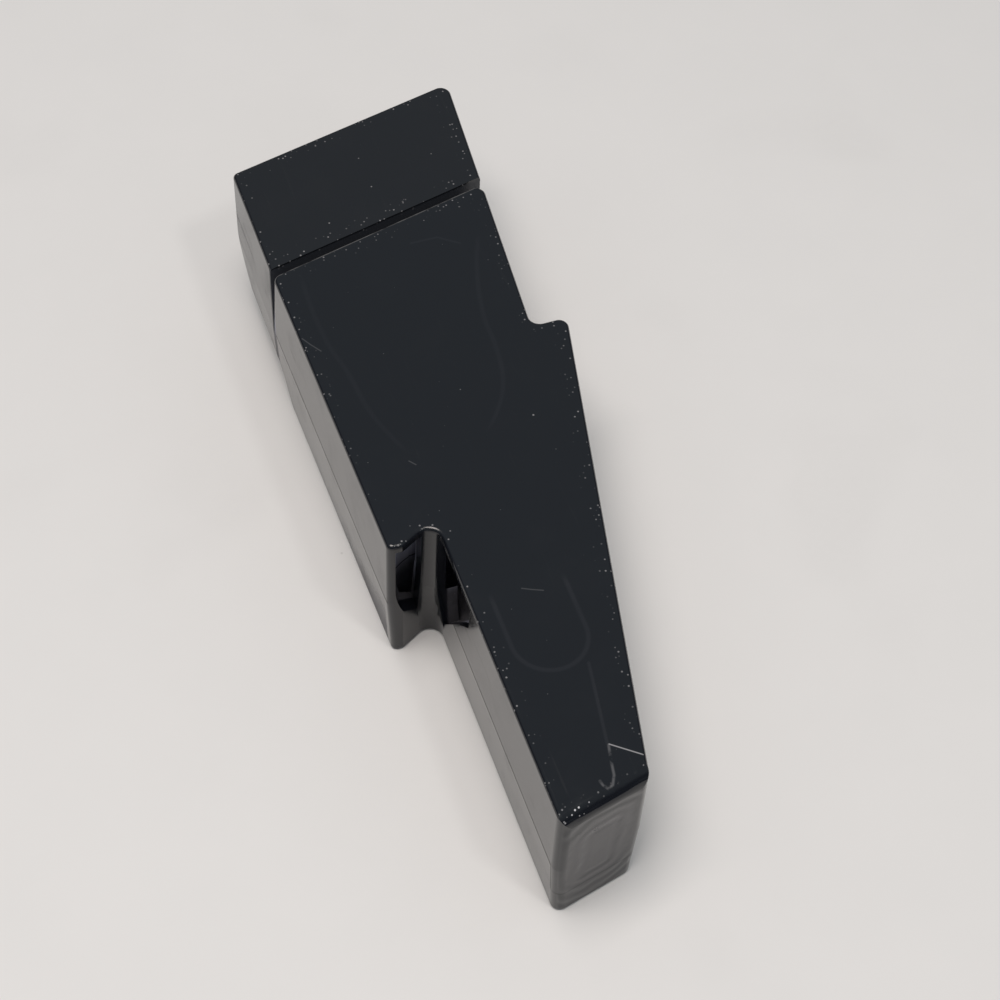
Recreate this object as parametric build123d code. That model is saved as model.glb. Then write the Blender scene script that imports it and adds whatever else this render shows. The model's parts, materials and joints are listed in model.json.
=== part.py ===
from build123d import *
import math
import os

# A pealess training whistle shaped like a lightning bolt, in millimetres.
# Frame: +Z up, +Y from the tail to the mouthpiece, +X to the right.  The origin
# is under the middle of the whistle, on the surface that it lies on.

# --- overall sizes ---
HEIGHT = 14.5            # underside of the body to its top face
PARTING_Z = 6.8          # seam between the base and the upper shell
SKEW = 13.4              # degrees: the tip, the slot and the tail all slant by this much
DRAFT_INSET = 0.36       # the side walls of the base lean in by this much at the underside

# --- plan of the bolt ---
TIP_Y = 33.5             # tip line where it crosses X = 0
SLOT_Y = 22.05           # rear face of the mouthpiece where it crosses X = 0
LEFT_X = -10.6           # left side of the mouthpiece and of the body's front
NOTCH_LEFT_X = -10.0     # left side of the body where the notch starts
NOTCH_LIP_Y = -9.98
NOTCH_LIP_END = (-8.8, -10.0)    # from here the notch wall slants up to the leg
NOTCH_TOP_Y = -8.35      # where that slant would meet the leg
NOTCH_RADIUS = 1.15
LEG_LEFT_X = -5.75       # left side of the leg
SHOULDER_X = 7.85        # inner corner of the right-hand finger rest
SHOULDER_Y = 7.45
SHOULDER_TIP_X = 10.95
RIGHT_TAPER = 5.0        # degrees: right side of the mouthpiece and upper body
LEG_TAPER = 12.7         # degrees: right side of the leg
TAIL_Y = -35.85          # tail line at the leg's left side

# --- moulding details ---
WALL = 1.6
TOP_WALL = 1.5
FLOOR = 1.8
RIB = 1.1                # partition walls of the chambers
EDGE_RADIUS = 0.35
BOTTOM_EDGE_RADIUS = 0.3
SLOT_CORNER_RADIUS = 0.8
TAIL_EDGE_RADIUS = 1.4
JOINT_GAP = 0.03         # faces of two mouldings that meet
LAP = 0.75               # skirts of the upper shell that lap over the base
TAIL_SEAM_Z = 2.9
LIP_THICKNESS = 0.7
LIP_HEIGHT = 1.2
PEG_RADIUS = 0.9
PEG_CLEARANCE = 0.05
BOSS_RADIUS = 1.9
PEG_TOP_Z = 9.5

# --- slot, windways and mouthpiece ---
SLOT_APEX_Z = 9.75       # the V closes here at both sides
SLOT_TOP_GAP = 0.75
MOUTHPIECE_UNDERSIDE_Z = 3.2
TIP_CURVE_DEPTH = 3.3    # the underside curves up to the tip over this length
TIP_CURVE_TOP_Z = 9.6
BASE_NOSE = [(0.4, 3.2), (1.6, 2.3), (2.9, 0.8), (3.9, -0.01)]     # distance behind the slot, Z
WINDWAY_HEIGHT = 1.0
WINDWAY_Z = 10.2
MOUTH_CAVITY_DEPTH = 2.4
MOUTH_CAVITY_HEIGHT = 7.0
LABIUM_Z = 10.6
TENON_WIDTH = 13.0
TENON_HEIGHT = 1.8
TENON_LENGTH = 1.5
TENON_Z = 5.0

# --- lanyard pocket and its two windows ---
POCKET_RADIUS = 4.1
WINDOW_TOP_Z = 13.7
WINDOW_LEFT_X = -9.4     # the window in the step
WINDOW_CURVE_Z = 8.4     # its left edge curves inward below this height
WINDOW_CURVE_MIDDLE = (-9.22, 6.85)
WINDOW_CORNER = (-8.75, 5.4)
WINDOW_FOOT = (-7.35, 4.0)
SIDE_WINDOW = [          # Y, Z round the window in the leg
    (-9.7, WINDOW_TOP_Z),
    (-9.7, 6.5),
    (-9.85, 4.0),
    (-10.2, 1.95),
    (-10.8, 3.2),
    (-14.2, 8.3),
    (-16.4, 11.0),
    (-16.6, WINDOW_TOP_Z),
]
POST_LEFT_X = -7.05      # the post that a cord loops round stands between the windows
POST_RIGHT_X = -5.2
POST_FRONT_Y = -9.7
POST_BACK_Y = -7.7
POST_CLEARANCE = 1.7
POST_CLEARANCE_Z = 3.3   # where the room behind the post starts

# --- partition walls under the top ---
HIGH_VOICE_FRONT = [(0.7, -1.9), (3.7, 2.6), (4.6, 8.0), (4.8, 21.0), (-8.35, 17.5)]
HIGH_VOICE_LEFT = [(-8.35, 17.5), (-8.35, 10.0), (-7.3, 3.0), (-5.9, -1.7)]
HIGH_VOICE_BOTTOM = (-2.6, -5.1)
LOW_VOICE_CENTRE = (-1.2, -21.0)
LOW_VOICE_RADIUS = 2.9
LOW_VOICE_LENGTH = 10.2
LOW_VOICE_OPEN_Y = -14.8
TAIL_RIB = [(0.75, -23.9), (-0.4, -31.0), (-0.8, -34.5)]

SLOPE = math.tan(math.radians(SKEW))
MOUTHS = [(-7.2, 3.9), (5.7, 7.1)]     # left and right edges of each voice, at the slot
PEGS = [(7.1, 3.3), (-2.6, -30.0)]


def skew_line(y_at_zero, x):
    """Y of a line across the whistle that slants like the tip."""
    return y_at_zero + SLOPE * x


def at_slot(x, behind, z):
    """Place a box square to the mouthpiece's rear face, by its distance along that face's normal."""
    return Pos(x, skew_line(SLOT_Y, x), z) * Rot(0, 0, SKEW) * Pos(0, behind, 0)


def tail_y(x):
    return TAIL_Y + SLOPE * (x - LEG_LEFT_X)


def side_crossing(x_at_shoulder, taper, y_at_zero):
    """Point where a slanting line meets a right-hand side that tapers toward the tail."""
    lean = math.tan(math.radians(taper))
    x = (x_at_shoulder + lean * (y_at_zero - SHOULDER_Y)) / (1 - lean * SLOPE)
    return (x, skew_line(y_at_zero, x))


def round_corners(face, radii):
    """Round the plan corners nearest to the given points."""
    for (x, y), radius in radii:
        corner = face.vertices().sort_by_distance(Vector(x, y, 0))[0]
        face = fillet(corner, radius)
    return face


def body_outline(inset):
    """Plan of the body behind the slot, with its side walls moved in but its notch and tail kept."""
    front = SLOT_Y - JOINT_GAP
    left = LEFT_X + inset
    leg_left = LEG_LEFT_X + inset
    shoulder = SHOULDER_Y - inset
    notch_rise = (NOTCH_TOP_Y - NOTCH_LIP_END[1]) / (LEG_LEFT_X - NOTCH_LIP_END[0])
    corners = {
        "front left": (left, skew_line(front, left)),
        "front right": side_crossing(SHOULDER_X - inset, RIGHT_TAPER, front),
        "shoulder": (SHOULDER_X - inset, shoulder),
        "shoulder tip": (SHOULDER_TIP_X - inset, shoulder),
        "tail right": side_crossing(SHOULDER_TIP_X - inset, LEG_TAPER, tail_y(0)),
        "tail left": (leg_left, tail_y(leg_left)),
        "notch top": (leg_left, NOTCH_TOP_Y + notch_rise * inset),
        "lip right": NOTCH_LIP_END,
        "lip left": (NOTCH_LEFT_X + inset, NOTCH_LIP_Y),
    }
    radii = {
        "shoulder": 0.9,
        "shoulder tip": 0.8,
        "tail right": 0.8,
        "tail left": 0.75,
        "notch top": NOTCH_RADIUS,
        "lip right": 0.25,
        "lip left": 0.5,
    }
    face = make_face(Polyline(*corners.values(), close=True).edges())
    return round_corners(face, [(corners[name], radius) for name, radius in radii.items()])


def mouthpiece_outline(inset):
    tip_left = (LEFT_X + inset, skew_line(TIP_Y, LEFT_X + inset))
    tip_right = side_crossing(SHOULDER_X - inset, RIGHT_TAPER, TIP_Y)
    face = make_face(Polyline(
        tip_left,
        tip_right,
        side_crossing(SHOULDER_X - inset, RIGHT_TAPER, SLOT_Y),
        (LEFT_X + inset, skew_line(SLOT_Y, LEFT_X + inset)),
        close=True,
    ).edges())
    return round_corners(face, [(tip_left, 0.5), (tip_right, 0.9)])


def prism(face, bottom, top):
    return extrude(Pos(0, 0, bottom) * face, amount=top - bottom, dir=(0, 0, 1))


def slanted(profile, reach=16):
    """Sweep a profile in the YZ plane across the whistle, along the slant."""
    direction = Vector(1, SLOPE, 0).normalized()
    return extrude(profile, amount=reach, dir=direction, both=True)


def across(points):
    """A prism that runs across the whistle along the slant; points are (Y at X = 0, Z)."""
    return slanted(make_face(Polyline(*[(0, y, z) for y, z in points], close=True).edges()))


def rounding(y, z, radius):
    """What a round edge takes off a square corner that faces -Y and +Z."""
    side = radius * math.sqrt(0.5)
    return make_face([
        Line((0, y - 1, z + 1), (0, y - 1, z - radius)),
        Line((0, y - 1, z - radius), (0, y, z - radius)),
        ThreePointArc((0, y, z - radius), (0, y + radius - side, z - radius + side), (0, y + radius, z)),
        Line((0, y + radius, z), (0, y + radius, z + 1)),
        Line((0, y + radius, z + 1), (0, y - 1, z + 1)),
    ])


def strip(points, width):
    """A plan strip of constant width along a chain of straight steps."""
    faces = []
    for (x0, y0), (x1, y1) in zip(points, points[1:]):
        angle = math.degrees(math.atan2(y1 - y0, x1 - x0))
        length = math.hypot(x1 - x0, y1 - y0)
        middle = Pos((x0 + x1) / 2, (y0 + y1) / 2) * Rot(0, 0, angle)
        faces.append(middle * Rectangle(length, width))
        faces.append(Pos(x1, y1) * Circle(width / 2))
    joined = faces[0]
    for face in faces[1:]:
        joined += face
    return joined


# --- the whole body before it is divided ---

OUTLINE = body_outline(0)


def upper_body():
    """The body above the seam, with its slanted front and its rounded rim."""
    body = prism(OUTLINE, PARTING_Z, HEIGHT) - across([
        (SLOT_Y + 3, SLOT_APEX_Z),
        (SLOT_Y - JOINT_GAP, SLOT_APEX_Z),
        (SLOT_Y - SLOT_TOP_GAP, HEIGHT),
        (SLOT_Y - SLOT_TOP_GAP, HEIGHT + 1),
        (SLOT_Y + 3, HEIGHT + 1),
    ])
    front_corners = [
        edge for edge in body.edges()
        if SLOT_APEX_Z + 0.5 < edge.center().Z < HEIGHT - 1
        and edge.center().Y > skew_line(SLOT_Y - 2, edge.center().X)
    ]
    body = fillet(front_corners, SLOT_CORNER_RADIUS)
    rim = [edge for edge in body.edges() if edge.center().Z > HEIGHT - 0.01]
    body = fillet(rim, EDGE_RADIUS)
    return body - slanted(rounding(tail_y(0), HEIGHT, TAIL_EDGE_RADIUS))


def under_nose(thickness):
    """What lies under the base's nose, raised by the thickness of its floor."""
    front = SLOT_Y + 3
    back = SLOT_Y - thickness / 2
    profile = [(back - behind, z + thickness) for behind, z in BASE_NOSE]
    return across([
        (front, -1),
        (front, profile[0][1]),
        *profile,
        (profile[-1][0], -1),
    ])


def lower_body():
    """The body below the seam: its sides lean in, its tail and notch stand straight."""
    body = loft([Pos(0, 0, PARTING_Z) * OUTLINE, body_outline(DRAFT_INSET)], ruled=True)
    bottom = [edge for edge in body.edges() if edge.center().Z < 0.01]
    return fillet(bottom, BOTTOM_EDGE_RADIUS) - under_nose(0)


ENVELOPE = upper_body() + lower_body()


def skirts():
    """Plan of the laps where the upper shell hangs down over the base."""
    tail_shift = Pos(-LAP * math.sin(math.radians(SKEW)), LAP * math.cos(math.radians(SKEW)))
    tail_area = Pos(-2, -38) * Rectangle(16, 8)
    notch_area = Pos(-8, -9.6) * Rectangle(6.0, 2.6)
    tail = (OUTLINE - tail_shift * OUTLINE) & tail_area
    notch = (OUTLINE - Pos(0, LAP) * OUTLINE) & notch_area
    return tail, notch


def upper_region():
    tail, notch = skirts()
    region = prism(Rectangle(60, 90), PARTING_Z, HEIGHT + 1)
    region += prism(tail, TAIL_SEAM_Z, PARTING_Z + 1)
    region += prism(notch, FLOOR, PARTING_Z + 1)
    return region


INSIDE = offset(OUTLINE, -WALL, kind=Kind.INTERSECTION)


def chamber_walls():
    """Plan of the partition walls that hang from the top of the upper shell."""
    bottom = ThreePointArc(HIGH_VOICE_LEFT[-1], HIGH_VOICE_BOTTOM, HIGH_VOICE_FRONT[0])
    sides = Polyline(*HIGH_VOICE_LEFT).edges() + Polyline(*HIGH_VOICE_FRONT).edges()
    high_voice = make_face(sides + [bottom])
    teardrop = offset(high_voice, RIB / 2) - offset(high_voice, -RIB / 2)
    x, y = LOW_VOICE_CENTRE
    width = 2 * LOW_VOICE_RADIUS
    low_voice = Pos(x, y + LOW_VOICE_LENGTH / 2) * Rectangle(width, LOW_VOICE_LENGTH)
    low_voice += Pos(x, y) * Circle(LOW_VOICE_RADIUS)
    u_wall = offset(low_voice, RIB) - low_voice
    u_wall -= Pos(x, LOW_VOICE_OPEN_Y + LOW_VOICE_LENGTH / 2) * Rectangle(2 * width, LOW_VOICE_LENGTH)
    pocket = Circle(POCKET_RADIUS + RIB) - Circle(POCKET_RADIUS)
    walls = teardrop + u_wall + (strip(TAIL_RIB, RIB) - low_voice)
    walls += Pos(LEG_LEFT_X, NOTCH_LIP_Y) * pocket
    for x, y in PEGS:
        walls += Pos(x, y) * Circle(BOSS_RADIUS)
    return walls


def step_window():
    """Opening in the step wall, beside the post."""
    top_left = (WINDOW_LEFT_X, 0, WINDOW_TOP_Z)
    curve_top = (WINDOW_LEFT_X, 0, WINDOW_CURVE_Z)
    middle = (WINDOW_CURVE_MIDDLE[0], 0, WINDOW_CURVE_MIDDLE[1])
    corner = (WINDOW_CORNER[0], 0, WINDOW_CORNER[1])
    foot = (WINDOW_FOOT[0], 0, WINDOW_FOOT[1])
    post_foot = (POST_LEFT_X, 0, WINDOW_CURVE_Z)
    post_top = (POST_LEFT_X, 0, WINDOW_TOP_Z)
    straight = Polyline(corner, foot, post_foot, post_top, top_left, curve_top)
    profile = make_face(straight.edges() + [ThreePointArc(curve_top, middle, corner)])
    return extrude(Pos(0, NOTCH_LIP_Y - 1, 0) * profile, amount=1 + 2 * WALL, dir=(0, 1, 0))


def leg_window():
    """Opening in the leg's wall, on the other side of the post."""
    profile = make_face(Polyline(*[(0, y, z) for y, z in SIDE_WINDOW], close=True).edges())
    return extrude(Pos(LEG_LEFT_X - 1, 0, 0) * profile, amount=1 + WALL, dir=(1, 0, 0))


def behind_post():
    """Room for a cord behind the post."""
    wide = POST_RIGHT_X - POST_LEFT_X
    deep = POST_BACK_Y - POST_FRONT_Y
    post = Pos(POST_LEFT_X + wide / 2, POST_FRONT_Y + deep / 2) * Rectangle(wide, deep)
    wide += POST_CLEARANCE
    deep += POST_CLEARANCE
    around = Pos(POST_LEFT_X + wide / 2, POST_FRONT_Y + deep / 2) * Rectangle(wide, deep)
    return prism(around - post, POST_CLEARANCE_Z, HEIGHT - TOP_WALL)


def windows():
    return step_window(), leg_window(), behind_post()


def lip(clearance):
    """Tongue of the base that stands inside the upper shell's wall."""
    outer = offset(OUTLINE, -(WALL - LIP_THICKNESS) + clearance, kind=Kind.INTERSECTION)
    inner = offset(OUTLINE, -WALL, kind=Kind.INTERSECTION)
    ring = outer - inner
    ring -= Pos(0, -35.5) * Rectangle(40, 7)                 # clear of the tail skirt
    ring -= Pos(-7.5, -10.5) * Rectangle(8, 15)               # clear of the lanyard pocket
    ring -= Pos(0, 24) * Rectangle(40, 16)                    # clear of the voices
    return prism(ring, PARTING_Z - 0.5, PARTING_Z + LIP_HEIGHT + clearance)


def cavity():
    return prism(INSIDE, FLOOR, HEIGHT - TOP_WALL) - under_nose(WALL)


def upper_shell():
    shell = (ENVELOPE & upper_region()) - cavity()
    walls = chamber_walls() & INSIDE
    shell += prism(walls, FLOOR + JOINT_GAP, HEIGHT - TOP_WALL + 0.2) - under_nose(WALL + JOINT_GAP)
    for x, y in PEGS:
        shell -= Pos(x, y) * prism(Circle(PEG_RADIUS + PEG_CLEARANCE), 0, PEG_TOP_Z + 0.3)
    for left, right in MOUTHS:
        opening = Box(right - left, 3.4, LABIUM_Z - PARTING_Z + 1)
        shell -= at_slot((left + right) / 2, -0.8, (PARTING_Z - 1 + LABIUM_Z) / 2) * opening
    shell -= lip(JOINT_GAP)
    for window in windows():
        shell -= window
    return shell


def base_shell():
    shell = (ENVELOPE - upper_region()) - cavity()
    shell += lip(0)
    for x, y in PEGS:
        shell += Pos(x, y) * prism(Circle(PEG_RADIUS), FLOOR - 0.2, PEG_TOP_Z)
    shell -= at_slot(0, 0, TENON_Z) * Box(TENON_WIDTH + 0.1, 2 * WALL + 0.2, TENON_HEIGHT + 0.1)
    for window in windows():
        shell -= window
    return shell


def under_tip():
    """What the underside's curve takes off the mouthpiece below its tip."""
    bottom = MOUTHPIECE_UNDERSIDE_Z
    rise = TIP_CURVE_TOP_Z - bottom
    curve_top = (0, TIP_Y, TIP_CURVE_TOP_Z)
    curve_middle = (0, TIP_Y - 0.4 * TIP_CURVE_DEPTH, bottom + 0.36 * rise)
    curve_end = (0, TIP_Y - TIP_CURVE_DEPTH, bottom)
    sides = Polyline(
        curve_end,
        (0, TIP_Y - TIP_CURVE_DEPTH, bottom - 1),
        (0, TIP_Y + 1, bottom - 1),
        (0, TIP_Y + 1, TIP_CURVE_TOP_Z),
        curve_top,
    )
    return make_face(sides.edges() + [ThreePointArc(curve_top, curve_middle, curve_end)])


def mouthpiece_block():
    inset = DRAFT_INSET * (1 - MOUTHPIECE_UNDERSIDE_Z / PARTING_Z)
    seam_plan = mouthpiece_outline(0)
    underside_plan = Pos(0, 0, MOUTHPIECE_UNDERSIDE_Z) * mouthpiece_outline(inset)
    block = prism(seam_plan, PARTING_Z, HEIGHT)
    block += loft([Pos(0, 0, PARTING_Z) * seam_plan, underside_plan], ruled=True)
    block -= slanted(under_tip())
    rim = [edge for edge in block.edges() if edge.center().Z > HEIGHT - 0.01]
    rim = [edge for edge in rim if edge.center().Y > skew_line(SLOT_Y, edge.center().X) + 1]
    block = fillet(rim, EDGE_RADIUS)
    for left, right in MOUTHS:
        middle = (left + right) / 2
        windway = Box(right - left, 24, WINDWAY_HEIGHT)
        block -= Pos(middle, skew_line(SLOT_Y, middle) + 11.9, WINDWAY_Z) * windway
        cavity_box = Box(right - left, 2 * MOUTH_CAVITY_DEPTH, MOUTH_CAVITY_HEIGHT)
        block -= at_slot(middle, 0, LABIUM_Z - 2) * cavity_box
    tenon = Box(TENON_WIDTH, TENON_LENGTH + 3, TENON_HEIGHT)
    block += at_slot(0, (3 - TENON_LENGTH) / 2, TENON_Z) * tenon
    return block


PARTS = {
    "upper_shell": upper_shell,
    "base_shell": base_shell,
    "mouthpiece_block": mouthpiece_block,
}

os.makedirs("parts", exist_ok=True)
for name, make in PARTS.items():
    solid = make()
    export_step(solid, f"parts/{name}.step")
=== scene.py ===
import json
import math
import bpy
import numpy as np
from mathutils import Matrix, Vector

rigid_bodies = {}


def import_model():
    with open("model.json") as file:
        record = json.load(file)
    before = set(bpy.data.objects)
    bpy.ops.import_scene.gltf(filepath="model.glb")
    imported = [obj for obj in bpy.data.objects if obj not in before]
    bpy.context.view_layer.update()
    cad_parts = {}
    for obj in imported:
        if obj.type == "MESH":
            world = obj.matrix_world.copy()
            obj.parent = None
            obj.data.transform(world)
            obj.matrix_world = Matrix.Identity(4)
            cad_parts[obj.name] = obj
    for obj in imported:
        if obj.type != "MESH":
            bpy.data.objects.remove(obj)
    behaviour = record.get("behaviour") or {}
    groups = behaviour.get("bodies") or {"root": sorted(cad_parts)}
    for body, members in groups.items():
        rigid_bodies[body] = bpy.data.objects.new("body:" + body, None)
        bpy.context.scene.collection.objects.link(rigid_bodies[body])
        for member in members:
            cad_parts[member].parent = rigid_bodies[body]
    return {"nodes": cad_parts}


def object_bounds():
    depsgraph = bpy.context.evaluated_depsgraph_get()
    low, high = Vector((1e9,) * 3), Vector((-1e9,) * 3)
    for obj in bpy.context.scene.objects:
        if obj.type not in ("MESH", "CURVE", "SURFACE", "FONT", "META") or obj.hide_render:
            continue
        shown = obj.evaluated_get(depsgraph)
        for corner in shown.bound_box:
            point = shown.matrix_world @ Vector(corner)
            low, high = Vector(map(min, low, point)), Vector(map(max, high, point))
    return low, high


# %% [markdown]
# The whistle is three mouldings in glossy black plastic, joined into one.  The
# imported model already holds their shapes, so the scene starts from an empty file
# and loads that model as a fixed frame.  Lengths below are millimetres on the
# whistle itself: x across it, y towards the mouthpiece and z up from the table.

# %% Load the frame
for leftover in list(bpy.data.objects):
    bpy.data.objects.remove(leftover)
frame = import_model()
cad_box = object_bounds()
MM = 0.001
TOP = cad_box[1][2] / MM
SLOPE = math.tan(math.radians(13.4))     # the tip, the slot and the tail all slant like this
print("whistle box in mm:", [round(v / MM, 2) for v in (*cad_box[0], *cad_box[1])])


# %% [markdown]
# A finish could be wired by hand in the shader editor, but the body's has several
# hundred nodes.  So each helper adds one node or a short chain and returns its
# output, and a finish reads like a formula.  A mask is a number from 0 to 1: the
# product of masks is where all of them are, and the strongest is where any is.

# %% Node helpers
class Finish:
    """A material under construction: its node tree and short ways to add nodes to it."""

    def __init__(self, name):
        self.material = bpy.data.materials.new(name)
        self.material.use_nodes = True
        self.tree = self.material.node_tree
        self.tree.nodes.clear()
        here = self.add("ShaderNodeTexCoord").outputs["Object"]
        self.place = self.vector("SCALE", here, Scale=1 / MM)
        self.x, self.y, self.z = self.add("ShaderNodeSeparateXYZ", {0: self.place}).outputs
        self.plan = self.vector("MULTIPLY", self.place, (1, 1, 0))
        self.slant = self.math("MULTIPLY_ADD", self.x, -SLOPE, self.y)

    def add(self, kind, inputs=None, **settings):
        node = self.tree.nodes.new(kind)
        for key, value in settings.items():
            setattr(node, key, value)
        for key, value in (inputs or {}).items():
            self.feed(node.inputs[key], value)
        return node

    def feed(self, socket, value):
        if isinstance(value, bpy.types.NodeSocket):
            self.tree.links.new(value, socket)
        else:
            socket.default_value = value

    def vector(self, operation, a, b=(0, 0, 0), **extra):
        node = self.add("ShaderNodeVectorMath", {0: a, 1: b, **extra}, operation=operation)
        return node.outputs["Value" if operation in ("LENGTH", "DOT_PRODUCT") else "Vector"]

    def math(self, operation, a, b=0.0, c=0.0, clamp=False):
        return self.add("ShaderNodeMath", {0: a, 1: b, 2: c}, operation=operation, use_clamp=clamp).outputs[0]

    def product(self, first, *others):
        for other in others:
            first = self.math("MULTIPLY", first, other)
        return first

    def strongest(self, first, *others):
        for other in others:
            first = self.math("MAXIMUM", first, other)
        return first

    def rising(self, value, low, high, start=0.0, end=1.0):
        """A smooth step from 0 at the low value to 1 at the high one."""
        inputs = {"Value": value, "From Min": low, "From Max": high, "To Min": start, "To Max": end}
        return self.add("ShaderNodeMapRange", inputs, interpolation_type="SMOOTHSTEP").outputs[0]

    def falling(self, value, low, high):
        """A smooth step from 1 at the low value to 0 at the high one."""
        return self.rising(value, low, high, 1.0, 0.0)

    def noise(self, size, detail=3.0, roughness=0.5, stretch=(1, 1, 1)):
        place = self.add("ShaderNodeMapping", {"Vector": self.place, "Scale": stretch}).outputs[0]
        inputs = {"Vector": place, "Scale": 1 / size, "Detail": detail, "Roughness": roughness}
        return self.add("ShaderNodeTexNoise", inputs).outputs["Fac"]

    def blend(self, mask, a, b):
        """Colour a where the mask is 0 and colour b where it is 1."""
        node = self.add("ShaderNodeMix", data_type="RGBA")
        for socket, value in ((0, mask), (6, a), (7, b)):
            self.feed(node.inputs[socket], value if isinstance(value, bpy.types.NodeSocket) else (*value, 1))
        return node.outputs[2]

    def relief(self, *parts):
        """One bump normal from (mask, height in mm) parts added together."""
        height = 0.0
        for mask, tall in parts:
            height = self.math("MULTIPLY_ADD", mask, tall, height)
        return self.add("ShaderNodeBump", {"Height": height, "Distance": MM, "Strength": 1.0}).outputs[0]

    def shader(self, **inputs):
        return self.add("ShaderNodeBsdfPrincipled", inputs).outputs[0]

    def done(self, shader):
        output = self.add("ShaderNodeOutputMaterial")
        self.tree.links.new(shader, output.inputs["Surface"])
        print("finish", self.material.name, "has", len(self.tree.nodes), "nodes")
        return self.material


# %% [markdown]
# Two patterns do most of the work.  A band marks where any value is close to a
# given one, which draws a seam at a height or a ring at a radius.  Specks are
# grains of dust: a cell pattern gives each cell a centre and a random colour, and
# only the cells with a low enough colour keep their grain.

# %% Bands and specks
def band(finish, value, middle, width, soft):
    """1 within half a width of the middle, fading to 0 over the soft border."""
    off = finish.math("ABSOLUTE", finish.math("SUBTRACT", value, middle))
    return finish.falling(off, width / 2, width / 2 + soft)


def specks(finish, spacing, radius, share):
    """Round grains in a share of the cells of a random cell pattern."""
    cells = finish.add("ShaderNodeTexVoronoi", {"Vector": finish.place, "Scale": 1 / spacing})
    grain = finish.falling(cells.outputs["Distance"], 0.4 * radius / spacing, radius / spacing)
    lot = finish.add("ShaderNodeSeparateColor", {0: cells.outputs["Color"]}).outputs[0]
    return finish.product(grain, finish.math("LESS_THAN", lot, share))


# %% [markdown]
# Marks on the top are drawn seen from above.  A scratch is a chain of straight
# steps, and its mask is the distance to the nearest step.  A long gentle curve is
# cheaper as one curve node that gives x for each y.

# %% Lines drawn in plan
def distance(finish, points):
    """Plan distance to a chain: for each step, how far from the step's nearest point; then the least."""
    nearest = None
    for a, b in zip(points, points[1:]):
        step = np.subtract(b, a)
        start = finish.vector("SUBTRACT", finish.plan, (*a, 0))
        along = finish.vector("DOT_PRODUCT", start, (*(step / (step @ step)), 0))
        along = finish.math("ADD", along, 0.0, clamp=True)
        foot = finish.vector("SCALE", (*step, 0), Scale=along)
        away = finish.vector("LENGTH", finish.vector("SUBTRACT", start, foot))
        nearest = away if nearest is None else finish.math("MINIMUM", nearest, away)
    return nearest


def line(finish, points, width, soft):
    """1 on a drawn chain, fading to 0 over the soft border."""
    return finish.falling(distance(finish, points), width / 2, width / 2 + soft)


CURVE_REACH = 20.0       # a curve node holds 0 to 1, which stands for this many mm across the middle


def curve(finish, points, width, soft):
    """1 on the line x = f(y), where f runs smoothly through the given (y, x) points."""
    start, end = points[0][0], points[-1][0]
    part = finish.math("DIVIDE", finish.math("SUBTRACT", finish.y, start), end - start)
    node = finish.add("ShaderNodeFloatCurve", {"Value": part})
    knots = node.mapping.curves[0].points
    while len(knots) < len(points):
        knots.new(0.5, 0.5)
    for knot, (y, x) in zip(knots, points):
        knot.location = ((y - start) / (end - start), x / CURVE_REACH + 0.5)
    node.mapping.update()
    middle = finish.math("MULTIPLY_ADD", node.outputs[0], CURVE_REACH, -CURVE_REACH / 2)
    fade_in = finish.rising(finish.y, start - 0.3, start + 1.5)
    fade_out = finish.falling(finish.y, end - 2.0, end)
    on_curve = band(finish, finish.math("SUBTRACT", finish.x, middle), 0.0, width, soft)
    return finish.product(on_curve, fade_in, fade_out)


# %% [markdown]
# Where a partition wall hangs below the top, the thick corner shrank as it cooled
# and left a faint sink line.  A long teardrop goes round the high voice's chamber
# in front, a U stands in the low voice's chamber behind it, and a line runs on to
# the tail.  They could be modelled as grooves, but a mark this faint is only a few
# microns of relief and a slightly lighter colour.  That colour is a painted sheen:
# the light that the shallow dent reflects, painted in.

# %% Sink lines
TEARDROP_RIGHT = [        # y, x
    (-1.87, 0.66), (0.26, 2.45), (2.63, 3.67), (5.78, 4.28), (9.47, 4.47), (14.34, 5.57), (18.5, 7.16),
]
TEARDROP_LEFT = [(-1.87, -5.7), (0.13, -6.47), (2.78, -7.25), (7.52, -7.82), (10.52, -8.39), (18.5, -8.38)]
TEARDROP_FRONT = [(1.33, 18.83), (3.6, 18.81), (5.21, 17.6)]
TAIL_LINE = [(0.76, -24.06), (-0.38, -30.7)]
U_CENTRE = (-1.2, -21.0)
U_RADIUS = 2.9
U_ENDS = (-17.2, -15.9)


def upward(finish):
    """1 on the flat top and 0 below its rounded rim."""
    return finish.rising(finish.z, TOP - 0.5, TOP - 0.1)


def u_line(finish):
    """A U open towards the mouthpiece: r = hypot(x, min(y, 0)) about its centre stays at the radius."""
    x = finish.math("SUBTRACT", finish.x, U_CENTRE[0])
    y = finish.math("MINIMUM", finish.math("SUBTRACT", finish.y, U_CENTRE[1]), 0.0)
    squares = finish.math("ADD", finish.math("MULTIPLY", x, x), finish.math("MULTIPLY", y, y))
    ring = band(finish, finish.math("SQRT", squares), U_RADIUS, width=0.12, soft=0.22)
    return finish.product(ring, finish.falling(finish.y, *U_ENDS))


def sink_lines(finish):
    lines = finish.strongest(
        u_line(finish),
        finish.product(curve(finish, TEARDROP_LEFT, width=0.12, soft=0.25), 0.5),
        finish.product(curve(finish, TEARDROP_RIGHT, width=0.12, soft=0.25), 0.6),
        finish.product(line(finish, TEARDROP_FRONT, width=0.06, soft=0.12), 0.9),
        line(finish, TAIL_LINE, width=0.10, soft=0.14),
    )
    return finish.product(lines, upward(finish))


print("sink lines reach from y =", TAIL_LINE[-1][1], "to", TEARDROP_FRONT[0][1], "mm")
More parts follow.
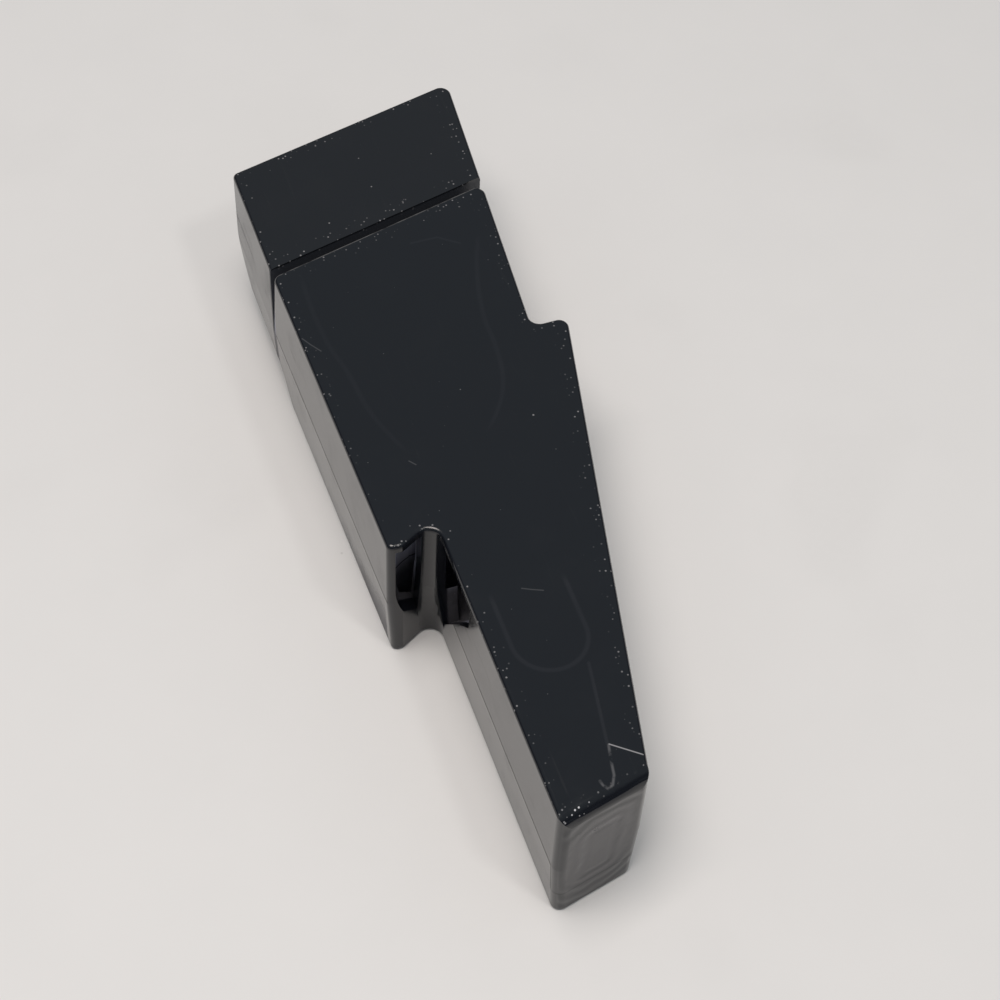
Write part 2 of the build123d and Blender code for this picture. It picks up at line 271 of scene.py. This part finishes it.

# %% [markdown]
# Use has left its own marks: one bright scratch that runs off the right edge near
# the tail, a hooked one beside it, and a few short ones.  A noise breaks up the
# hooked one, as a real scratch skips.  The top of the tail's left corner gets a few
# pale specks: painted glints where its rounded edge would catch the light.

# %% Scratches and painted glints
BRIGHT_SCRATCH = [(-0.27, -30.82), (1.71, -32.37)]
HOOK_SCRATCH = [
    (-0.33, -30.88), (-0.61, -32.07), (-0.84, -33.26), (-1.17, -33.9),
    (-1.6, -34.05), (-1.86, -33.75), (-1.95, -33.39),
]
SHORT_SCRATCHES = [
    [(-1.65, -16.41), (-0.95, -16.75), (-0.18, -17.08)],
    [(-10.2, 11.7), (-9.75, 10.9), (-9.14, 9.99)],
    [(-5.5, -3.1), (-5.9, -2.6)],
]
# where the painted glints go: the top of the tail's rounded left corner
GLINT_CORNER = [(-5.1, -35.1), (-3.3, -34.6)]


def scratches_on_top(finish):
    skips = finish.rising(finish.noise(0.9, 3, 0.6), 0.36, 0.56)
    scratches = finish.strongest(
        line(finish, BRIGHT_SCRATCH, width=0.03, soft=0.06),
        finish.product(line(finish, HOOK_SCRATCH, width=0.04, soft=0.14), skips, 0.28),
        *[finish.product(line(finish, path, width=0.02, soft=0.07), 0.16) for path in SHORT_SCRATCHES],
    )
    return finish.product(scratches, upward(finish))


# painted highlight: pale specks on the corner stand in for glints of light on its rounding
def glints_on_corner(finish):
    near_glint_corner = line(finish, GLINT_CORNER, width=0.3, soft=0.5)
    high = finish.rising(finish.z, TOP - 0.8, TOP - 0.6)
    return finish.product(specks(finish, spacing=0.30, radius=0.10, share=0.5), near_glint_corner, high)


print("scratches:", 2 + len(SHORT_SCRATCHES))


# %% [markdown]
# Every moulding shares the same wear: loose grains of dust that lie on the top,
# finer dust that gathers along the edges, hairlines that run lengthways, and
# soft patches that handling has dulled.  Dust and hairlines change how rough the
# gloss is as much as they change its colour.

# %% Dust and wear
def dust_and_wear(finish, edges, gloss, dull):
    """The dust mask, and a roughness that runs from gloss to dull with dust and hairlines added."""
    grains = specks(finish, spacing=1.5, radius=0.11, share=0.22)
    fine = finish.product(specks(finish, spacing=0.75, radius=0.06, share=0.10), 0.35)
    near_edge = finish.falling(distance(finish, edges), 0.35, 1.3)
    patches = finish.rising(finish.noise(2.6, 2, 0.6), 0.36, 0.56)
    edge_dust = finish.product(specks(finish, spacing=0.34, radius=0.10, share=0.34), near_edge, patches)
    lying = finish.product(finish.strongest(grains, fine, edge_dust), upward(finish))
    dust = finish.strongest(lying, finish.product(grains, 0.2))

    handling = finish.rising(finish.noise(5.0, 4, 0.6), 0.42, 0.72)
    hairlines = finish.rising(finish.noise(0.6, 2, 0.4, stretch=(1, 0.06, 1)), 0.66, 0.74)
    roughness = finish.math("MULTIPLY_ADD", handling, dull - gloss, gloss)
    roughness = finish.math("MULTIPLY_ADD", hairlines, 0.10, roughness)
    return dust, finish.math("MULTIPLY_ADD", dust, 0.4, roughness)


# %% [markdown]
# The tail's end face sank as it cooled into nested, rounded steps.  They are
# rings of equal distance from a small rounded box in the middle of the face, a
# little wavy, pressed in as a relief a few hundredths of a millimetre deep.

# %% Relief of the tail's end face
DISH_CENTRE = (-2.05, 7.4)       # x and z
DISH_HALF_SIZE = (0.7, 2.6)
DISH_LEAN = 0.05                 # the rings lean with the drafted wall
RING_TURN = 5.2                  # radians of ring per mm outwards
TAIL_FACE = (-34.35, -34.15)     # read along the slant


def tail_dish(finish):
    """Rings of d = hypot(max(|u| - a, 0), max(|w| - b, 0)), and a mask of the dish inside them."""
    lean = finish.math("SUBTRACT", finish.z, 7.0)
    u = finish.math("MULTIPLY_ADD", lean, -DISH_LEAN, finish.math("SUBTRACT", finish.x, DISH_CENTRE[0]))
    w = finish.math("SUBTRACT", finish.z, DISH_CENTRE[1])
    squares = []
    for offset, half in zip((u, w), DISH_HALF_SIZE):
        beyond = finish.math("MAXIMUM", finish.math("SUBTRACT", finish.math("ABSOLUTE", offset), half), 0.0)
        squares.append(finish.math("MULTIPLY", beyond, beyond))
    d = finish.math("SQRT", finish.math("ADD", *squares))
    d = finish.math("MULTIPLY_ADD", finish.noise(2.2, 2, 0.5), 0.9, d)
    rings = finish.math("SINE", finish.math("MULTIPLY", d, RING_TURN))
    rings = finish.math("MULTIPLY_ADD", rings, 0.22, finish.rising(d, 0.2, 2.4))
    on_tail = finish.falling(finish.slant, *TAIL_FACE)
    return finish.product(rings, on_tail), finish.product(on_tail, finish.falling(d, 1.9, 2.9))


# %% [markdown]
# The inside of the openings never gets polished, so it is duller and holds lint.
# Its colour is painted lighter than the black, and lighter still higher up: painted
# light that stands in for the light coming in through the openings.
# One finish serves a whole moulding, so the inside is told apart by place: deeper
# than the wall's drafted face, seen from above, or inside the slot.

# %% Inside of the openings
LEFT = -10.6
LEG_LEFT = -5.75
INSIDE_TOP = TOP - 1.4           # the openings start below the rim
OUTLINE = [
    (LEFT, 18.7), (LEFT, -9.6), (-8.7, -9.6), (-6.9, -8.6), (LEG_LEFT, -9.6), (LEG_LEFT, -35.7), (1.6, -34.1),
    (10.6, 7.3), (8.0, 7.6), (9.2, 22.8), (LEFT, 18.7),
]
SLOT_MIDDLE = 21.75              # read along the slant


def inside_body(finish):
    behind_wall = finish.rising(distance(finish, OUTLINE), 0.55, 0.9)
    in_slot = band(finish, finish.slant, SLOT_MIDDLE, width=0.5, soft=0.1)
    return finish.strongest(
        finish.product(behind_wall, finish.falling(finish.z, INSIDE_TOP - 0.1, INSIDE_TOP + 0.1)),
        finish.product(in_slot, finish.falling(finish.z, TOP - 0.7, TOP - 0.2)),
    )


def lint(finish):
    grains = specks(finish, spacing=0.5, radius=0.08, share=0.3)
    return finish.strongest(grains, finish.product(finish.noise(1.0, 4, 0.7), 0.3))


print("walls are told from the inside by a plan outline of", len(OUTLINE) - 1, "corners")

# %% [markdown]
# The shells meet at a parting line on the side walls.  Near the tail it drops in
# a short riser and goes round the end face lower down, and the notch's end wall
# has none.  The parts touch with no gap, so the line is a change of shader: no
# light comes back out of a real seam, so it is nearly black and not glossy.

# %% Parting line
PARTING_Z = 6.8
TAIL_SEAM_Z = 2.9
RISER = -33.53                   # read along the slant
NOTCH_WALL = {"y": (-10.3, -10.2, -7.1, -7.0), "x": (-10.0, -9.9, -0.5, 0.0)}
SLOT_FOOT = (21.5, 21.9)


def parting_line(finish):
    tail = finish.falling(finish.slant, RISER - 0.02, RISER + 0.01)
    near_notch = finish.product(*[
        side for value, (a, b, c, d) in ((finish.y, NOTCH_WALL["y"]), (finish.x, NOTCH_WALL["x"]))
        for side in (finish.rising(value, a, b), finish.falling(value, c, d))])
    elsewhere = finish.math("SUBTRACT", 1.0, finish.strongest(tail, near_notch))
    before_slot = finish.falling(finish.slant, *SLOT_FOOT)
    side = finish.product(band(finish, finish.z, PARTING_Z, width=0.10, soft=0.05), elsewhere, before_slot)
    low = finish.product(band(finish, finish.z, TAIL_SEAM_Z, width=0.03, soft=0.05), tail)
    riser = finish.product(
        band(finish, finish.slant, RISER, width=0.05, soft=0.05),
        finish.rising(finish.z, TAIL_SEAM_Z - 0.05, TAIL_SEAM_Z),
        finish.falling(finish.z, PARTING_Z, PARTING_Z + 0.05))
    return finish.strongest(finish.product(side, 0.9), finish.product(low, 0.5), finish.product(riser, 0.6))


def plastic(finish, color, roughness, normal, seam):
    """Gloss everywhere but in the seam, which is dark and dull."""
    gloss = finish.shader(**{"Base Color": color, "Roughness": roughness, "Normal": normal, "IOR": 1.52})
    shadow = (0.004, 0.004, 0.004, 1)
    dark = finish.shader(**{"Base Color": shadow, "Roughness": 0.9, "Specular IOR Level": 0.05})
    return finish.add("ShaderNodeMixShader", {0: seam, 1: gloss, 2: dark}).outputs[0]


# %% [markdown]
# The body is injection moulded in a polished black plastic, a dark, slightly blue
# colour under a clear gloss, with a faint ripple from the mould.  The colour is
# laid down in layers, each over the one before: sink lines with a painted sheen,
# the inside painted lighter as painted light, with its lint, dust, a painted
# highlight along the slot's edge, scratches, painted glints on the tail's left
# corner, and a bloom on the tail's end face.

# %% Body plastic
BODY_BLACK = (0.0072, 0.0085, 0.0116)
# SINK_TONE is a painted sheen: the lighter tone stands in for light that the sink dents reflect
SINK_TONE = (0.0118, 0.0132, 0.0172)
# painted light: the lining colours are lighter than the black, most of all high up, in place of light that
# gets inside
PAINTED_LIGHT_LINING_LOW, PAINTED_LIGHT_LINING_HIGH = (0.042, 0.041, 0.052), (0.36, 0.37, 0.46)
SLOT_EDGE = 21.16                # read along the slant


def body_plastic():
    finish = Finish("body_gloss_black")
    dust, roughness = dust_and_wear(finish, OUTLINE, gloss=0.11, dull=0.20)
    sinks = sink_lines(finish)
    scratches = scratches_on_top(finish)
    inside = inside_body(finish)
    # painted highlight: a thin lighter line along the slot's front edge, broken up by noise, stands in for
    # the light its rounded edge catches
    highlight_breakup = finish.product(finish.rising(finish.noise(1.4), 0.3, 0.6), upward(finish))
    slot_edge_highlight = finish.product(band(finish, finish.slant, SLOT_EDGE, width=0.05, soft=0.10), highlight_breakup)
    dish, on_dish = tail_dish(finish)
    bloom = finish.product(on_dish, finish.noise(1.5, 3, 0.6))
    # painted light: the inside grows lighter with height, standing in for the light that falls in through the
    # openings
    painted_light_lining = finish.blend(finish.rising(finish.z, 5.5, 8.5), PAINTED_LIGHT_LINING_LOW, PAINTED_LIGHT_LINING_HIGH)
    color = finish.blend(sinks, BODY_BLACK, SINK_TONE)
    layers = (
        (inside, painted_light_lining),
        (finish.product(inside, lint(finish)), (0.30, 0.29, 0.29)),
        (dust, (0.20, 0.198, 0.205)),
        (slot_edge_highlight, (0.12, 0.12, 0.12)),
        (scratches, (0.27, 0.27, 0.28)),
        # painted glints on the tail's left corner
        (glints_on_corner(finish), (0.70, 0.70, 0.72)),
        (bloom, (0.032, 0.029, 0.035)),
    )
    for mask, tone in layers:
        color = finish.blend(mask, color, tone)
    for mask, amount in ((sinks, 0.08), (scratches, 0.35), (inside, 0.35), (slot_edge_highlight, 0.3)):
        roughness = finish.math("MULTIPLY_ADD", mask, amount, roughness)
    normal = finish.relief((finish.noise(1.1, 1, 0.4), 0.004), (dish, 0.045), (sinks, -0.008))
    return finish.done(plastic(finish, color, roughness, normal, parting_line(finish)))


body = body_plastic()

# %% [markdown]
# The mouthpiece is the same black from a mould with a duller polish: a satin that
# spreads its reflections a little more, and so looks more neutral.  Below the
# slot it meets the body at an upright seam that hardly shows.  Inside the slot its
# wall is painted a lighter black: painted light that falls into the slot.

# %% Mouthpiece plastic
MOUTHPIECE_BLACK = (0.0092, 0.0102, 0.0130)
MOUTHPIECE_EDGES = [(LEFT, 19.6), (LEFT, 30.9), (9.8, 35.7), (9.1, 24.3), (LEFT, 19.6)]
SLOT_WALL = 22.1                 # read along the slant
SLOT_SEAM = 22.05
SLOT_APEX_Z = 9.75


def mouthpiece_plastic():
    finish = Finish("mouthpiece_satin_black")
    dust, roughness = dust_and_wear(finish, MOUTHPIECE_EDGES, gloss=0.17, dull=0.27)
    in_slot = band(finish, finish.slant, SLOT_WALL, width=0.3, soft=0.2)
    inside = finish.product(in_slot, finish.falling(finish.z, TOP - 0.3, TOP - 0.05))
    # painted light: the slot's wall is painted lighter than the black, in place of the light falling into the
    # narrow slot
    color = finish.blend(inside, MOUTHPIECE_BLACK, (0.034, 0.038, 0.046))
    color = finish.blend(dust, color, (0.22, 0.215, 0.22))
    roughness = finish.math("MULTIPLY_ADD", inside, 0.3, roughness)
    normal = finish.relief((finish.noise(0.8, 2, 0.4), 0.004))
    upright = band(finish, finish.slant, SLOT_SEAM, width=0.04, soft=0.05)
    below_slot = finish.falling(finish.z, SLOT_APEX_Z - 0.05, SLOT_APEX_Z + 0.05)
    return finish.done(plastic(finish, color, roughness, normal, finish.product(upright, below_slot, 0.12)))


mouthpiece = mouthpiece_plastic()

# %% [markdown]
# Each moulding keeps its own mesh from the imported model.  Only the material slot
# changes, so shapes, places and sizes stay exactly as they were packed.

# %% Carry the finishes onto the mouldings
FINISHES = {"upper_shell": body, "base_shell": body, "mouthpiece_block": mouthpiece}
for node, material in FINISHES.items():
    slots = frame["nodes"][node].data.materials
    slots.clear()
    slots.append(material)
    print(node, "has", material.name)

# %% [markdown]
# The whistle lies on a pale matt table top.  One quad is enough, because only its
# finish shows: a faint mottle, light scuffs and a few dark crumbs.  It is wide
# enough to fill the view from above.

# %% Table top
TABLE_HALF_SIDE = 0.6            # metres


def table_finish():
    finish = Finish("pale_table")
    color = finish.blend(finish.noise(9.0, 4, 0.6), (0.73, 0.725, 0.715), (0.76, 0.752, 0.742))
    crumbs = finish.product(specks(finish, spacing=6.0, radius=0.22, share=0.25), finish.noise(1.0))
    rubbed = finish.rising(finish.noise(22.0, 2, 0.5), 0.56, 0.70)
    scuffs = finish.product(rubbed, finish.noise(0.9, 4, 0.8), 0.12)
    color = finish.blend(crumbs, color, (0.33, 0.32, 0.31))
    color = finish.blend(scuffs, color, (0.52, 0.51, 0.50))
    normal = finish.relief((finish.noise(0.7, 3, 0.6), 0.006))
    return finish.done(finish.shader(**{"Base Color": color, "Roughness": 0.6, "Normal": normal}))


def table_top():
    """A flat square at z = 0: the four corners of a unit square times the half side."""
    corners = np.array([[-1, -1, 0], [1, -1, 0], [1, 1, 0], [-1, 1, 0]]) * TABLE_HALF_SIDE
    mesh = bpy.data.meshes.new("table_top")
    mesh.from_pydata(corners.tolist(), [], [(0, 1, 2, 3)])
    mesh.materials.append(table_finish())
    top = bpy.data.objects.new("table_top", mesh)
    bpy.context.scene.collection.objects.link(top)
    return top


table_top()


# %% [markdown]
# Black gloss shows what surrounds it, so the light is half the finish.  A large
# warm softbox overhead, a little to the left, lights the table, which the side
# walls then mirror.  A small lamp on the other side puts thin glints on the
# rounded edges of the notch.

# %% Soft light
SOFTBOX_SIDE = 0.30
GLINT_SIDE = 0.05


def soft_light(name, place, side, power, color):
    """A square lamp at a place, turned to shine at the origin."""
    light = bpy.data.lights.new(name, "AREA")
    light.shape = "SQUARE"
    light.size = side
    light.energy = power
    light.color = color
    holder = bpy.data.objects.new(name, light)
    holder.location = place
    holder.rotation_euler = (-Vector(place)).to_track_quat("-Z", "Y").to_euler()
    bpy.context.scene.collection.objects.link(holder)
    print(name, "is", round(Vector(place).length, 2), "m away")


soft_light("overhead_softbox", (-0.10, -0.04, 0.55), SOFTBOX_SIDE, 2.35, (1.0, 0.925, 0.875))
soft_light("edge_glint", (0.10, -0.225, 0.435), GLINT_SIDE, 0.22, (1.0, 0.98, 0.95))

# %% [markdown]
# The room is bright overhead and dark near the floor line.  The flat top shows
# the bright part and the rounded edges sweep past the dark part, so a thin dark
# band frames the top, as it does on any piece of gloss plastic on a table.

# %% Room
ROOM_LOW, ROOM_HIGH = (0.05, 0.055, 0.07, 1), (0.25, 0.282, 0.305, 1)
ROOM_HEIGHTS = (0.25, 0.62)      # sine of the angle above the floor line


def room():
    world = bpy.data.worlds.new("room")
    world.use_nodes = True
    nodes, links = world.node_tree.nodes, world.node_tree.links
    direction = nodes.new("ShaderNodeTexCoord")
    split = nodes.new("ShaderNodeSeparateXYZ")
    height = nodes.new("ShaderNodeMapRange")
    height.interpolation_type = "SMOOTHSTEP"
    height.inputs["From Min"].default_value, height.inputs["From Max"].default_value = ROOM_HEIGHTS
    mix = nodes.new("ShaderNodeMix")
    mix.data_type = "RGBA"
    mix.inputs[6].default_value, mix.inputs[7].default_value = ROOM_LOW, ROOM_HIGH
    links.new(direction.outputs["Generated"], split.inputs[0])
    links.new(split.outputs["Z"], height.inputs["Value"])
    links.new(height.outputs[0], mix.inputs[0])
    links.new(mix.outputs[2], nodes["Background"].inputs["Color"])
    return world


bpy.context.scene.world = room()
bpy.context.scene.view_settings.view_transform = "Standard"
print("room is lit from", ROOM_LOW[:3], "up to", ROOM_HIGH[:3])

# %% [markdown]
# The camera looks down steeply from the tail end, so that the top, the left walls
# and the tail's end face all show.  It is turned a few degrees about its own line
# of sight, as a hand-held one is.

# %% Camera
EYE = Vector((-39.18, -102.05, 154.05)) * MM
LOOK = Vector((0.22439, 0.54350, -0.80886))
ROLL = math.radians(3.53)
camera_data = bpy.data.cameras.new("camera")
camera_data.lens = 81.42
camera_data.sensor_width = 36.0
camera_data.clip_start = 0.005
camera = bpy.data.objects.new("camera", camera_data)
turn = LOOK.to_track_quat("-Z", "Y").to_matrix() @ Matrix.Rotation(ROLL, 3, "Z")
camera.matrix_world = Matrix.Translation(EYE) @ turn.to_4x4()
bpy.context.scene.collection.objects.link(camera)
bpy.context.scene.camera = camera
print("camera is", round(EYE.length / MM), "mm from the whistle")
